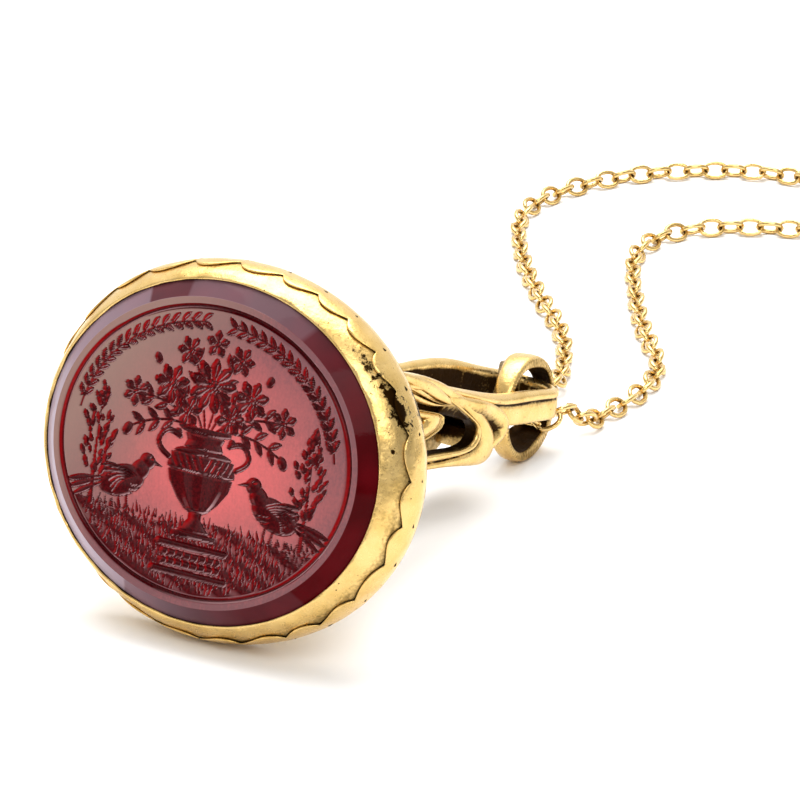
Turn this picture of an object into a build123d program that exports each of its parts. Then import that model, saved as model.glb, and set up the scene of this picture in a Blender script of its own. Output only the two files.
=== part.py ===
from build123d import *
import math
import os

# A gold fob seal worn as a pendant, lying on its side on a surface, with its chain laid flat.
# Millimetres. Z is up and the surface is Z = 0. The seal's axis runs along +Y and slopes down
# from the stone to the bail ring. The origin is on the surface below the stirrup's bend.

# Driving dimensions of the seal's head. The oval is given by the half widths of the stone's
# visible edge; every other oval of the head stands outside or inside it by a named distance.
stone_half_width = 12.1
stone_half_height = 10.57
height_share = 0.71         # what stands outside the stone stands out less above and below it
table_inset = 1.0           # from the stone's visible edge in to the flat table
table_rise = 0.85           # table in front of the stone's visible edge
stone_depth = 2.1           # thickness of the stone, from its table to its flat underside
stone_tuck = 0.15           # how far the stone runs in under the gold lip
groove_inset = 0.42         # plain band between the table's edge and the border groove
groove_width = 0.3
groove_depth = 0.25
seat_gap = 0.04             # between the stone and its collet, and the collet and the seal's body

rim_out = 1.9               # the scalloped rim stands this far outside the stone's edge
rim_back = 2.3              # and this far behind it
rim_thickness = 0.9         # from the rim's widest line back to the start of the dome
rim_round = 0.35            # how much the rim draws in over that thickness
shoulder_out = 1.8          # the rim's front slope, where it meets the scallops' slope
shoulder_back = 1.5
collet_wall = 1.45          # the collet's base stands this far outside the stone's edge
collet_base = 0.5           # the collet's base lies this far behind the stone's underside
lip_rise = 0.14             # the collet's lip in front of the stone's visible edge
lip_start = 0.06
lip_width = 0.3
lip_round = 0.3             # the lip's outer edge keeps this share of its rise
scallop_count = 27
scallop_tip_out = 1.22      # a scallop's tip, outside the stone's edge
scallop_cusp_out = 1.62     # the cusp between two scallops
scallop_back = 0.62         # the scallops' front behind the stone's edge

dome_depth = 6.2            # from the rim's widest line to the back of the dome
waist_half_width = 8.7      # of the dome, this share of the way down
waist_half_height = 7.2
waist_share = 0.42
neck_half_width = 4.3
neck_half_height = 4.0
root_depth = 3.4            # the handle's ribbons start this far behind the rim, in the dome

# Bail ring, standing on its edge across the stirrup
bail_outer_radius = 3.67
bail_wall = 0.4
bail_width = 1.42
bail_dome = 0.14            # how much the wall's outside swells, and its inside is hollowed
bail_side = 1.18            # its middle lies this far to the side of the seal's axis
bail_forward = -0.5         # and this far along Y from the origin
bail_reach = 36.55          # along the seal's axis, from the stone's edge plane to the bail's middle
bail_lift = 1.34            # the bail's middle above the seal's axis
bail_turn = 3.0             # degrees that the bail is turned about the vertical

# Stirrup of the handle: two legs and the bend that the bail hangs on
stirrup_spread = 2.1        # a leg's centre line from the stirrup's middle
stirrup_offset = -0.33      # the stirrup's middle beside the bail's middle
stirrup_band = 0.8
stirrup_depth = 2.0
stirrup_play = 0.5          # between the stirrup's bend and the bail's wall
leg_swell = 1.15            # the legs' spread half way, over their spread at the bend
root_swell = 1.25           # and at their roots
slab_swell = 1.6            # the slab that the legs are cut from reaches this far over the spread
plan_reach = 8.0            # the stirrup's plan is drawn this far up and down, then cut

# Side ribbons of the handle: each is a flat band bent in its own plane
loop_height = 2.75          # half the height between an outer loop's two arms
loop_thickness = 1.0
loop_spread = 2.1           # an outer loop's middle from the handle's middle plane
wrap_band = 0.85            # the wrap is one broad strap that joins the two outer loops
wrap_breadth = 5.2
scroll_thickness = 0.8
leaf_band = 1.35
leaf_thickness = 1.3
stations_per_row = 3        # points of a ribbon's edges for each row of its table
look_ahead = 0.1            # a ribbon's direction is taken over this part of a station

# Chain: cable links about this wide, laid in an open loop and closed by a clasp
chain_width = 1.3
corner_share = 0.45         # a corner of the route may take this share of each run beside it
clasp_width = 3.4
clasp_height = 1.7
clasp_round = 0.5
clasp_eye_radius = 0.75
clasp_wire = 0.42
end_gap = 0.25              # between the chain's end and the clasp's eye


def oval(out, gap=0.0):
    """Half widths of an oval of the head that stands out from the stone's visible edge."""
    out_in_height = out * height_share if out > 0 else out
    return stone_half_width + out + gap, stone_half_height + out_in_height + gap


# How the seal lies: on the rim's lowest point and on the bail ring, which fixes its slope
bail_centre = Vector(bail_side, bail_forward, bail_outer_radius)
rim_half_height = oval(rim_out)[1]
rim_to_bail = bail_reach - rim_back
rim_drop = bail_lift + rim_half_height
slope = math.atan2(rim_drop, rim_to_bail) - math.asin(
    bail_outer_radius / math.hypot(rim_drop, rim_to_bail)
)
seal_direction = Vector(0, math.cos(slope), -math.sin(slope))
seal_up = Vector(0, math.sin(slope), math.cos(slope))
rim_centre = (
    bail_centre - seal_direction * rim_to_bail - seal_up * bail_lift - Vector(bail_side, 0, 0)
)
face = Plane(
    origin=rim_centre - seal_direction * rim_back, x_dir=(1, 0, 0), z_dir=seal_direction
)

# Stone: flat table, one polished bevel, and a plain underside. Each section is the distance
# out from the visible edge and the distance behind it.
bevel_slope = table_rise / table_inset
stone_underside = stone_depth - table_rise
stone_sections = [
    (-table_inset, -table_rise),
    (stone_tuck, stone_tuck * bevel_slope),
    (stone_tuck, stone_underside),
]

with BuildPart() as stone:
    for out, depth in stone_sections:
        with BuildSketch(face.offset(depth)):
            Ellipse(*oval(out))
    loft(ruled=True)
    with BuildSketch(face.offset(-table_rise)):
        Ellipse(*oval(-table_inset - groove_inset))
        Ellipse(*oval(-table_inset - groove_inset - groove_width), mode=Mode.SUBTRACT)
    extrude(amount=groove_depth, mode=Mode.SUBTRACT)
stone.part.label = "intaglio_stone"

# The stone's room in the collet is the same shape, larger by the seat gap all round
with BuildPart() as stone_room:
    for out, depth in stone_sections:
        with BuildSketch(face.offset(depth - seat_gap)):
            Ellipse(*oval(out, seat_gap))
    with BuildSketch(face.offset(stone_underside + seat_gap)):
        Ellipse(*oval(stone_tuck, seat_gap))
    loft(ruled=True)

# Collet: a band that slopes out and back from a thin lip at the stone to its base
collet_back = stone_underside + collet_base
collet_shares = [           # of the collet's wall, and of its depth
    (0.5, 0.24),
    (0.78, 0.56),
    (1.0, 1.0),
]
collet_sections = [(lip_start, -lip_rise), (lip_width, -lip_round * lip_rise)]
collet_sections += [(wall * collet_wall, deep * collet_back) for wall, deep in collet_shares]

with BuildPart() as collet:
    for out, depth in collet_sections:
        with BuildSketch(face.offset(depth)):
            Ellipse(*oval(out))
    loft(ruled=True)
    add(stone_room.part, mode=Mode.SUBTRACT)
collet.part.label = "bezel"

# Seal body: a dish that the collet sits in, with a scalloped front edge and a domed back
dish_sections = [
    (scallop_tip_out, scallop_back),
    (shoulder_out, shoulder_back),
    (rim_out, rim_back),
    (rim_out - rim_round, rim_back + rim_thickness),
]
dome_sections = [
    (*oval(rim_out - rim_round), rim_back + rim_thickness),
    (waist_half_width, waist_half_height, rim_back + waist_share * dome_depth),
    (neck_half_width, neck_half_height, rim_back + dome_depth),
]

with BuildPart() as collet_room:
    for out, depth in collet_sections:
        with BuildSketch(face.offset(depth)):
            Ellipse(*oval(out, seat_gap))
    with BuildSketch(face.offset(collet_back + seat_gap)):
        Ellipse(*oval(collet_wall, seat_gap))
    loft(ruled=True)

with BuildPart() as dish:
    for out, depth in dish_sections:
        with BuildSketch(face.offset(depth)):
            Ellipse(*oval(out))
    loft(ruled=True)

with BuildPart() as dome:
    for half_width, half_height, depth in dome_sections:
        with BuildSketch(face.offset(depth)):
            Ellipse(half_width, half_height)
    loft()


def oval_point(out, turn):
    """A point of an oval of the head, in the face's plane, at a share of a full turn."""
    half_width, half_height = oval(out)
    angle = 2 * math.pi * turn
    return half_width * math.cos(angle), half_height * math.sin(angle)


with BuildPart() as scallops:
    with BuildSketch(face):
        with BuildLine():
            for i in range(scallop_count):
                ThreePointArc(
                    oval_point(scallop_cusp_out, i / scallop_count),
                    oval_point(scallop_tip_out, (i + 0.5) / scallop_count),
                    oval_point(scallop_cusp_out, (i + 1) / scallop_count),
                )
        make_face()
    extrude(amount=collet_back + seat_gap)

# Handle: its axis runs from the rim's middle to the bail's middle
handle_axis = bail_centre - rim_centre
handle_length = handle_axis.length
handle_direction = handle_axis.normalized()
handle_side = handle_direction.cross(Vector(0, 0, 1)).normalized()
handle_up = handle_side.cross(handle_direction)

# Stirrup: a band bent in plan, cut to a twisted slab. Each row of the slab is along, the top
# at the near leg, the top at the far leg, and the depth, as shares of the handle's length, the
# loop's height and the stirrup's depth.
root_share = root_depth / handle_length
stirrup_rows = [
    (root_share, 1.58, 1.3, 0.54),
    (0.26, 1.68, 1.32, 0.54),
    (0.44, 1.52, 1.22, 0.54),
    (0.58, 1.12, 1.14, 0.6),
    (0.7, 0.82, 1.15, 0.72),
    (0.82, 0.58, 1.1, 0.92),
    (0.93, 0.56, 0.88, 1.0),
    (1.05, 0.5, 0.66, 0.92),
    (1.15, 0.45, 0.54, 0.9),
]
slab_spread = slab_swell * stirrup_spread

with BuildPart() as slab:
    for hand in (1, -1):
        top = []
        bottom = []
        for along, near, far, depth in stirrup_rows:
            middle = (near + far) / 2
            reach = hand * slab_spread / stirrup_spread
            height = (middle + (near - far) / 2 * reach) * loop_height
            top.append((along * handle_length, height))
            bottom.append((along * handle_length, height - depth * stirrup_depth))
        side_plane = Plane(
            origin=rim_centre + handle_side * hand * slab_spread,
            x_dir=handle_direction,
            z_dir=handle_side,
        )
        with BuildSketch(side_plane):
            with BuildLine():
                Spline(*top)
                Line(top[-1], bottom[-1])
                Spline(*bottom)
                Line(bottom[0], top[0])
            make_face()
    loft(ruled=True)

bail_inner_radius = bail_outer_radius - bail_dome - bail_wall
bend_end = handle_length + bail_inner_radius - stirrup_play - stirrup_band / 2
bend_start = bend_end - stirrup_spread
leg_middle = (root_depth + bend_start) / 2
plan = Plane(
    origin=rim_centre + handle_side * stirrup_offset,
    x_dir=handle_direction,
    z_dir=handle_up,
)

with BuildPart() as stirrup:
    with BuildSketch(plan):
        with BuildLine():
            Spline(
                (root_depth, root_swell * stirrup_spread),
                (leg_middle, leg_swell * stirrup_spread),
                (bend_start, stirrup_spread),
                tangents=((1, 0), (1, 0)),
            )
            ThreePointArc(
                (bend_start, stirrup_spread), (bend_end, 0), (bend_start, -stirrup_spread)
            )
            Spline(
                (bend_start, -stirrup_spread),
                (leg_middle, -leg_swell * stirrup_spread),
                (root_depth, -root_swell * stirrup_spread),
                tangents=((-1, 0), (-1, 0)),
            )
        trace(line_width=stirrup_band)
    extrude(amount=plan_reach, both=True)
    add(slab.part, mode=Mode.INTERSECT)

# Side ribbons, on both sides: an outer loop, a scroll inside it and a leaf on the leg above.
# The wrap behind the outer loops is one broad strap. Along is a share of the handle's length
# and up of the loop's height. The rows of a loop and of a scroll give both of its edges.
loop_rows = [  # along and up of the outer edge, then of the inner edge
    (root_share, -0.8, root_share, -0.44),
    (0.36, -0.909, 0.36, -0.53),
    (0.539, -0.902, 0.539, -0.516),
    (0.65, -0.924, 0.63, -0.51),
    (0.735, -0.985, 0.685, -0.48),
    (0.779, -0.909, 0.713, -0.33),
    (0.799, -0.655, 0.72, -0.13),
    (0.793, -0.291, 0.713, 0.04),
    (0.773, 0.0, 0.695, 0.18),
    (0.743, 0.287, 0.668, 0.35),
    (0.699, 0.6, 0.633, 0.56),
    (0.644, 0.89, 0.584, 0.83),
    (0.589, 1.16, 0.54, 1.0),
    (0.51, 1.429, 0.49, 1.11),
    (0.408, 1.542, 0.4, 1.18),
    (0.303, 1.465, 0.303, 1.11),
    (root_share, 1.127, root_share, 0.78),
]
scroll_rows = [  # the same four columns
    (root_share, 0.75, root_share, 0.5),
    (0.36, 0.86, 0.36, 0.62),
    (0.44, 0.79, 0.44, 0.56),
    (0.495, 0.65, 0.49, 0.47),
    (0.539, 0.53, 0.523, 0.42),
    (0.579, 0.43, 0.543, 0.385),
    (0.598, 0.333, 0.548, 0.34),
    (0.597, 0.189, 0.54, 0.27),
    (0.583, 0.036, 0.525, 0.19),
    (0.557, -0.09, 0.505, 0.1),
    (0.52, -0.18, 0.475, 0.02),
    (0.4, -0.32, 0.4, -0.06),
    (root_share, -0.36, root_share, -0.1),
]
wrap_loop = [  # along and up of the middle, then the width as a share of the ribbon's band
    (0.6, 0.81, 1.0),
    (0.66, 0.66, 1.0),
    (0.711, 0.53, 1.0),
    (0.757, 0.41, 1.0),
    (0.787, 0.27, 1.0),
    (0.808, 0.1, 1.0),
    (0.8195, -0.1, 1.0),
    (0.815, -0.29, 1.0),
    (0.797, -0.45, 1.0),
    (0.77, -0.6, 1.0),
]
leaf = [  # the same three columns
    (root_share, 1.0, 0.8),
    (0.3, 1.32, 1.0),
    (0.42, 1.32, 1.0),
    (0.482, 1.166, 1.0),
    (0.52, 1.03, 0.95),
    (0.555, 0.9, 0.8),
    (0.585, 0.79, 0.55),
    (0.604, 0.7, 0.35),
]


def flat_band(outer_edge, inner_edge, spread, thickness):
    """A band between two edges drawn in a plane beside the handle's middle plane."""
    plane = Plane(
        origin=rim_centre + handle_side * spread, x_dir=handle_direction, z_dir=handle_side
    )
    with BuildPart() as band:
        with BuildSketch(plane):
            with BuildLine():
                Spline(*outer_edge)
                Line(outer_edge[-1], inner_edge[-1])
                Spline(*inner_edge)
                Line(inner_edge[0], outer_edge[0])
            make_face()
        extrude(amount=thickness / 2, both=True)
    return band.part


def side_ribbon(rows, spread, thickness, band):
    """A flat band that follows a smooth middle line."""
    middle = Spline(
        *[(along * handle_length, up * loop_height, width * band) for along, up, width in rows]
    )
    outer_edge = []
    inner_edge = []
    stations = stations_per_row * len(rows)
    for i in range(stations + 1):
        point = middle @ (i / stations)
        ahead = middle @ (min(i + look_ahead, stations) / stations)
        behind = middle @ (max(i - look_ahead, 0) / stations)
        run = Vector(ahead.X - behind.X, ahead.Y - behind.Y, 0).normalized()
        across = Vector(-run.Y, run.X, 0) * (point.Z / 2)
        place = Vector(point.X, point.Y, 0)
        outer_edge.append(place + across)
        inner_edge.append(place - across)
    return flat_band(outer_edge, inner_edge, spread, thickness)


def band_edges(rows):
    """Both edges of a band whose rows are along and up of the outer, then the inner edge."""
    outer_edge = [(row[0] * handle_length, row[1] * loop_height) for row in rows]
    inner_edge = [(row[2] * handle_length, row[3] * loop_height) for row in rows]
    return outer_edge, inner_edge


side_ribbons = [side_ribbon(wrap_loop, 0, wrap_breadth, wrap_band)]
for spread in (loop_spread, -loop_spread):
    side_ribbons.append(flat_band(*band_edges(loop_rows), spread, loop_thickness))
    side_ribbons.append(flat_band(*band_edges(scroll_rows), spread, scroll_thickness))
    side_ribbons.append(side_ribbon(leaf, spread, leaf_thickness, leaf_band))

with BuildPart() as body:
    add(dish.part)
    add(scallops.part, mode=Mode.SUBTRACT)
    add(dome.part)
    add(collet_room.part, mode=Mode.SUBTRACT)
    add(stirrup.part)
    for ribbon in side_ribbons:
        add(ribbon)
body.part.label = "seal_body"

# Bail ring: a band with a domed outside and a hollowed inside
bail_axis = Vector(1, 0, 0).rotate(Axis.Z, bail_turn)
bail_across = bail_axis.cross(Vector(0, 0, 1))
bail_section = Plane(origin=bail_centre, x_dir=bail_axis, z_dir=bail_across)

with BuildPart() as bail:
    with BuildSketch(bail_section):
        with BuildLine():
            half = bail_width / 2
            edge = bail_outer_radius - bail_dome
            ThreePointArc((-half, edge), (0, bail_outer_radius), (half, edge))
            Line((half, edge), (half, bail_inner_radius))
            ThreePointArc(
                (half, bail_inner_radius),
                (0, bail_inner_radius + bail_dome),
                (-half, bail_inner_radius),
            )
            Line((-half, bail_inner_radius), (-half, edge))
        make_face()
    revolve(axis=Axis(bail_centre, bail_axis))
bail.part.label = "bail_ring"

# Chain's route, chosen by hand: from the clasp along the strand that reaches the bail's far
# side, under the stirrup's bend through the bail, and back along the near strand to the clasp.
lie = chain_width / 2
chain_route = [
    (83.0, 119.0, lie),
    (58.0, 115.0, lie),
    (34.0, 99.0, lie),
    (20.0, 77.0, lie),
    (8.0, 62.6, lie),
    (-3.0, 58.8, lie),
    (-12.6, 61.0, lie),
    (-20.6, 55.6, lie),
    (-24.2, 48.4, lie),
    (-24.2, 41.4, lie),
    (-18.7, 32.7, lie),
    (-13.1, 26.0, lie),
    (-8.3, 21.0, lie),
    (-4.8, 15.6, lie),
    (-2.5, 10.4, 1.1),
    (-1.3, 5.6, 2.1),
    (-0.9, 1.05, 2.1),
    (2.65, 1.05, 2.1),
    (2.5, 4.2, 2.45),
    (2.6, 7.6, 1.3),
    (3.1, 11.8, lie),
    (1.4, 18.4, lie),
    (-3.2, 24.0, lie),
    (-7.6, 31.2, lie),
    (-11.4, 38.0, lie),
    (-10.7, 44.4, lie),
    (-6.4, 48.4, lie),
    (3.5, 51.6, lie),
    (20.0, 48.0, lie),
    (42.0, 36.0, lie),
    (70.0, 28.0, lie),
    (97.0, 37.0, lie),
    (115.0, 58.0, lie),
    (118.0, 84.0, lie),
    (109.0, 106.0, lie),
    (93.0, 117.4, lie),
]


def corner_radii(points):
    """Arc radii that keep nearly half of each run on both sides of every corner."""
    radii = []
    for before, here, after in zip(points, points[1:], points[2:]):
        run_in = Vector(*here) - Vector(*before)
        run_out = Vector(*after) - Vector(*here)
        turn = math.radians(run_in.get_angle(run_out))
        shorter = min(run_in.length, run_out.length)
        radii.append(corner_share * shorter / math.tan(turn / 2))
    return radii


route_radii = corner_radii(chain_route)
with BuildPart() as chain:
    with BuildLine() as chain_line:
        FilletPolyline(*chain_route, radius=route_radii)
    chain_path = chain_line.wires()[0]
    with BuildSketch(chain_path ^ 0):
        Circle(chain_width / 2)
    sweep(path=chain_path)
chain.part.label = "chain"

chain_section = math.pi * (chain_width / 2) ** 2
filled = chain.part.volume / (chain_section * chain_path.length)
print("chain radii:", [round(radius, 1) for radius in route_radii])
print("chain length:", round(chain_path.length, 1))
print("chain volume over section times length:", round(filled, 4))

# Clasp: a flat rounded case between the chain's two ends, with a wire eye at each end
chain_start = chain_path @ 0
chain_end = chain_path @ 1
clasp_gap = chain_end - chain_start
clasp_middle = chain_start + clasp_gap * 0.5
eye_outer_radius = clasp_eye_radius + clasp_wire / 2
eye_reach = clasp_gap.length / 2 - end_gap - eye_outer_radius
case_length = 2 * (eye_reach - clasp_eye_radius)
clasp_plane = Plane(
    origin=(clasp_middle.X, clasp_middle.Y, clasp_height / 2),
    x_dir=clasp_gap.normalized(),
    z_dir=(0, 0, 1),
)

with BuildPart() as clasp:
    with BuildSketch(clasp_plane):
        SlotOverall(case_length, clasp_width)
    extrude(amount=clasp_height / 2, both=True)
    fillet(clasp.faces().filter_by(Axis.Z).edges(), clasp_round)
    with BuildSketch(clasp_plane):
        with Locations((eye_reach, 0), (-eye_reach, 0)):
            Circle(eye_outer_radius)
            Circle(eye_outer_radius - clasp_wire, mode=Mode.SUBTRACT)
    extrude(amount=clasp_wire / 2, both=True)
clasp.part.label = "clasp"

os.makedirs("parts", exist_ok=True)
export_step(stone.part, "parts/intaglio_stone.step")
export_step(collet.part, "parts/bezel.step")
export_step(body.part, "parts/seal_body.step")
export_step(bail.part, "parts/bail_ring.step")
export_step(chain.part, "parts/chain.step")
export_step(clasp.part, "parts/clasp.step")
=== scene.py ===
import math
import random
import bmesh
import bpy
import numpy as np
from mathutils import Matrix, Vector


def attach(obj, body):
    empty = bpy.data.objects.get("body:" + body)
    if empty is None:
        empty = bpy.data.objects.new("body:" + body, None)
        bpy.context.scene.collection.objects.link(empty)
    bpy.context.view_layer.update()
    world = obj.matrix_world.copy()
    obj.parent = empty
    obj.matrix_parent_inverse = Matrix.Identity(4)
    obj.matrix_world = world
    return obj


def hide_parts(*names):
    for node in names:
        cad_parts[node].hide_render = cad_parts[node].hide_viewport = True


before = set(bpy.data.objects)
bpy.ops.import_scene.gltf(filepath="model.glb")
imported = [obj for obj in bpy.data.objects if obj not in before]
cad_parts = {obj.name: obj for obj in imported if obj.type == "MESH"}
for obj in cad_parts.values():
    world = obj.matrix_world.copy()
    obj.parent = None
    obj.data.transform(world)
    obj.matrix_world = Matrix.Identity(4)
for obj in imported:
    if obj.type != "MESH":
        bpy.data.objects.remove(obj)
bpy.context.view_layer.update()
scene = bpy.context.scene
vary = random.Random(7).uniform
MM = 0.001


# Camera
def put(name, data):
    made = bpy.data.objects.new(name, data)
    scene.collection.objects.link(made)
    return made


def aim(thing, target):
    thing.rotation_euler = (Vector(target) - thing.location).to_track_quat("-Z", "Y").to_euler()


view = bpy.data.cameras.new("view")
view.lens = 235.6
view.sensor_width = 36
view.clip_start = 0.01
camera = put("camera", view)
camera.location = (0.16819, -0.28328, 0.13025)
aim(camera, (0.00988, -0.02993, 0.01557))
scene.camera = camera


# Materials
class Look:
    """A node material: short calls that add a node and join it up."""

    def __init__(self, name, **values):
        self.material = bpy.data.materials.new(name)
        self.material.use_nodes = True
        self.tree = self.material.node_tree
        self.shader = self.tree.nodes["Principled BSDF"]
        for socket, value in values.items():
            self.shader.inputs[socket.replace("_", " ")].default_value = value
        self.place = self.node("ShaderNodeTexCoord").outputs["Object"]

    def node(self, kind, ins=None, **settings):
        made = self.tree.nodes.new(kind)
        for key, value in settings.items():
            setattr(made, key, value)
        for socket, value in (ins or {}).items():
            if isinstance(value, bpy.types.NodeSocket):
                self.tree.links.new(value, made.inputs[socket])
            elif made.inputs[socket].type == "RGBA":
                made.inputs[socket].default_value = (*value, 1)
            else:
                made.inputs[socket].default_value = value
        return made

    def join(self, value, socket):
        self.tree.links.new(value, self.shader.inputs[socket])

    def noise(self, size, detail=3.0, stretch=(1, 1, 1), rough=0.5):
        """Noise whose features are about this many millimetres."""
        scaled = self.node("ShaderNodeMapping", {"Vector": self.place, "Scale": stretch})
        ins = {"Vector": scaled.outputs[0], "Scale": 1000 / size, "Detail": detail}
        return self.node("ShaderNodeTexNoise", ins | {"Roughness": rough}).outputs["Fac"]

    def cells(self, size):
        """Distance from the nearest of points that lie about this many millimetres apart."""
        made = self.node("ShaderNodeTexVoronoi", {"Vector": self.place, "Scale": 1000 / size})
        return made.outputs["Distance"]

    def mark(self, name):
        """A number that the mesh gives at each point."""
        return self.node("ShaderNodeAttribute", attribute_name=name).outputs["Fac"]

    def span(self, value, low, high, start=0.0, end=1.0):
        """Takes low to high over to start to end, and no further."""
        ins = {"Value": value, 1: low, 2: high, 3: start, 4: end}
        return self.node("ShaderNodeMapRange", ins).outputs[0]

    def maths(self, operation, first, second):
        return self.node("ShaderNodeMath", {0: first, 1: second}, operation=operation).outputs[0]

    def add(self, value, *spans):
        """The value and more, each taken over as by span."""
        for span in spans:
            value = self.maths("ADD", value, self.span(*span))
        return value

    def mix(self, amount, first, second):
        """Between two colours, each a socket or a plain red, green and blue."""
        ins = {0: amount, 6: first, 7: second}
        return self.node("ShaderNodeMix", ins, data_type="RGBA").outputs[2]

    def bumps(self, *layers):
        """Each layer is a height and how many millimetres it stands."""
        normal = None
        for height, rise in layers:
            ins = {"Height": height, "Distance": rise * MM, "Strength": 1.0}
            if normal is not None:
                ins["Normal"] = normal
            normal = self.node("ShaderNodeBump", ins).outputs[0]
        self.join(normal, "Normal")


def grey(level):
    return (level, level, level)


def gold(name, clean=(0.80, 0.555, 0.215), deep=(0.03, 0.012, 0.001), wear=0.24, beaten=0.06):
    """Worn antique gold: "hollow" marks patina, and in places painted shade; "pitted" is where it
    is eaten.
    """
    look = Look(name, Metallic=1.0)
    patch, fine = look.noise(1.5, 4), look.noise(0.2, 5)
    dented, grain = look.noise(0.7, 2), look.noise(0.45, 6, rough=0.7)
    patina = look.add(
        look.mark("hollow"), (patch, 0.35, 0.75, -0.1, 0.12), (fine, 0.35, 0.7, -0.1, 0.14)
    )
    patina = look.span(patina, 0.14, 0.72)
    dull = (clean[0] * 0.86, clean[1] * 0.8, clean[2] * 0.62)
    tone = look.mix(look.span(patch, 0.35, 0.75), clean, dull)
    tone = look.mix(patina, tone, deep)
    pits = look.add(look.mark("pitted"), (grain, 0.3, 0.7, -0.5, 0.5))
    specks = look.span(look.cells(0.55), 0.05, 0.11, 1.0, 0.0)
    specks = look.maths("MULTIPLY", specks, look.span(fine, 0.5, 0.6))
    eaten = look.maths("MAXIMUM", look.span(pits, 0.42, 0.58), specks)
    look.join(look.mix(eaten, tone, (0.018, 0.007, 0.001)), "Base Color")
    rough = look.add(look.span(fine, 0.3, 0.7, wear, wear + 0.14), (patina, 0, 1, 0, 0.3))
    look.join(look.maths("MAXIMUM", rough, look.span(eaten, 0, 1, 0, 0.6)), "Roughness")
    look.bumps((patch, beaten), (dented, beaten * 0.5), (fine, 0.016), (eaten, -0.09))
    return look.material


def carnelian():
    """Deep red stone: a polished bevel, and a flat table whose field shows painted salmon glow to
    mauve reflection.
    """
    look = Look("carnelian", IOR=1.54)
    bevel, painted_reflection = look.mark("bevel"), look.mark("painted_reflection")
    engraved = look.span(look.mark("cut"), 0.04, 0.5)
    cloud, grain = look.noise(4.0, 3), look.noise(0.16, 3)
    scratch = look.noise(0.5, 4, (3.0, 0.35, 1.2))
    field = look.add(
        look.mark("field"), (cloud, 0.3, 0.7, -0.08, 0.08), (grain, 0.3, 0.7, -0.07, 0.07),
        (scratch, 0.35, 0.65, -0.05, 0.05),
    )
    # painted light on the field: a salmon glow of light through the stone in the middle, fading to
    # a painted mauve reflection towards the edges
    heart = look.mix(look.span(field, 0.0, 0.55), (0.70, 0.115, 0.115), (0.40, 0.085, 0.085))
    flat = look.mix(look.span(field, 0.5, 1.0), heart, (0.17, 0.055, 0.062))
    # painted reflection of the pale studio, taupe, over the table's upper left
    flat = look.mix(painted_reflection, flat, (0.27, 0.15, 0.12))
    shade = look.mix(look.span(grain, 0.35, 0.65), (0.036, 0.0, 0.001), (0.085, 0.001, 0.003))
    # painted glow on cut walls that face right, and painted highlights on cut slopes that face up
    # and left
    shade = look.mix(look.mark("glow"), shade, (0.62, 0.002, 0.004))
    shade = look.mix(look.mark("shine"), shade, (0.62, 0.36, 0.37))
    tint = look.mix(engraved, flat, shade)
    # painted rim light, pale pink, on the shallow right and lower edges of the cuts
    tint = look.mix(look.mark("painted_rim_light"), tint, (0.62, 0.30, 0.31))
    edge = look.mix(look.span(cloud, 0.4, 0.6), (0.055, 0.0, 0.001), (0.085, 0.001, 0.003))
    # painted reflection of the studio on the bevel, lavender
    edge = look.mix(painted_reflection, edge, (0.50, 0.40, 0.47))
    look.join(look.mix(bevel, tint, edge), "Base Color")
    look.join(look.mix(bevel, grey(0.17), grey(0.03)), "Roughness")
    mirror = look.mix(look.maths("MAXIMUM", bevel, engraved), grey(0.34), grey(0.10))
    look.join(look.mix(bevel, mirror, grey(0.04)), "Specular IOR Level")
    look.bumps((grain, 0.003))
    return look.material


GOLD = gold("antique_gold")
GOLD_CHAIN = gold("chain_gold", (0.82, 0.58, 0.24), (0.06, 0.025, 0.003), wear=0.10, beaten=0.02)
CARNELIAN = carnelian()


# Mesh helpers, in millimetres
def piece(name, points, faces, look, marks=None, sharp=None, stands_for=()):
    """A mesh that rides on the frame; each mark is one number a point, for its material."""
    mesh = bpy.data.meshes.new(name)
    mesh.from_pydata((np.asarray(points, float) * MM).tolist(), [], [tuple(face) for face in faces])
    for mark, values in (marks or {}).items():
        layer = mesh.attributes.new(mark, "FLOAT", "POINT")
        layer.data.foreach_set("value", np.asarray(values, np.float32).ravel())
    work = bmesh.new()
    work.from_mesh(mesh)
    bmesh.ops.recalc_face_normals(work, faces=work.faces)
    for face in work.faces:
        face.smooth = True
    if sharp is not None:
        flags = np.asarray(sharp, bool)
        for edge in work.edges:
            if flags[edge.verts[0].index] and flags[edge.verts[1].index]:
                edge.smooth = False
    work.to_mesh(mesh)
    work.free()
    mesh.materials.append(look)
    made = put(name, mesh)
    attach(made, "root")
    if stands_for:
        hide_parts(*stands_for)


def net(rows, columns, start=0, round_rows=False, round_columns=True):
    """Faces of a grid of points numbered row by row."""
    i, j = np.indices((rows - (not round_rows), columns - (not round_columns)))
    after, beside = (i + 1) % rows, (j + 1) % columns
    corners = (i * columns + j, i * columns + beside, after * columns + beside, after * columns + j)
    return (np.stack(corners, -1).reshape(-1, 4) + start).tolist()


def caps(rows, columns):
    """The two end faces of a grid whose rows are closed."""
    last = (rows - 1) * columns
    return [tuple(range(columns)), tuple(range(last, last + columns))]


def circle(count):
    """Evenly spaced angles once round."""
    return np.arange(count) * 2 * math.pi / count


def unit(ways):
    """The same ways with a length of one."""
    return ways / np.linalg.norm(ways, axis=-1, keepdims=True)


def hump(values, middle, spread):
    """One at the middle, and fading smoothly to nothing on both sides."""
    return np.exp(-(((values - middle) / spread) ** 2))


def from_line(turns, zero=0):
    """Degrees from a line of the oval, between -180 and 180."""
    return (np.degrees(turns) - zero + 180) % 360 - 180


def wander(turns, waves, seed):
    """A smooth closed random line of about unit size, over angles in radians."""
    luck = np.random.default_rng(seed)
    total = np.zeros_like(turns)
    for wave in range(waves // 2, waves + 1):
        total = total + luck.normal() * np.sin(wave * turns + luck.uniform(0, 6.28))
    return total / math.sqrt(waves - waves // 2 + 1)


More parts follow.
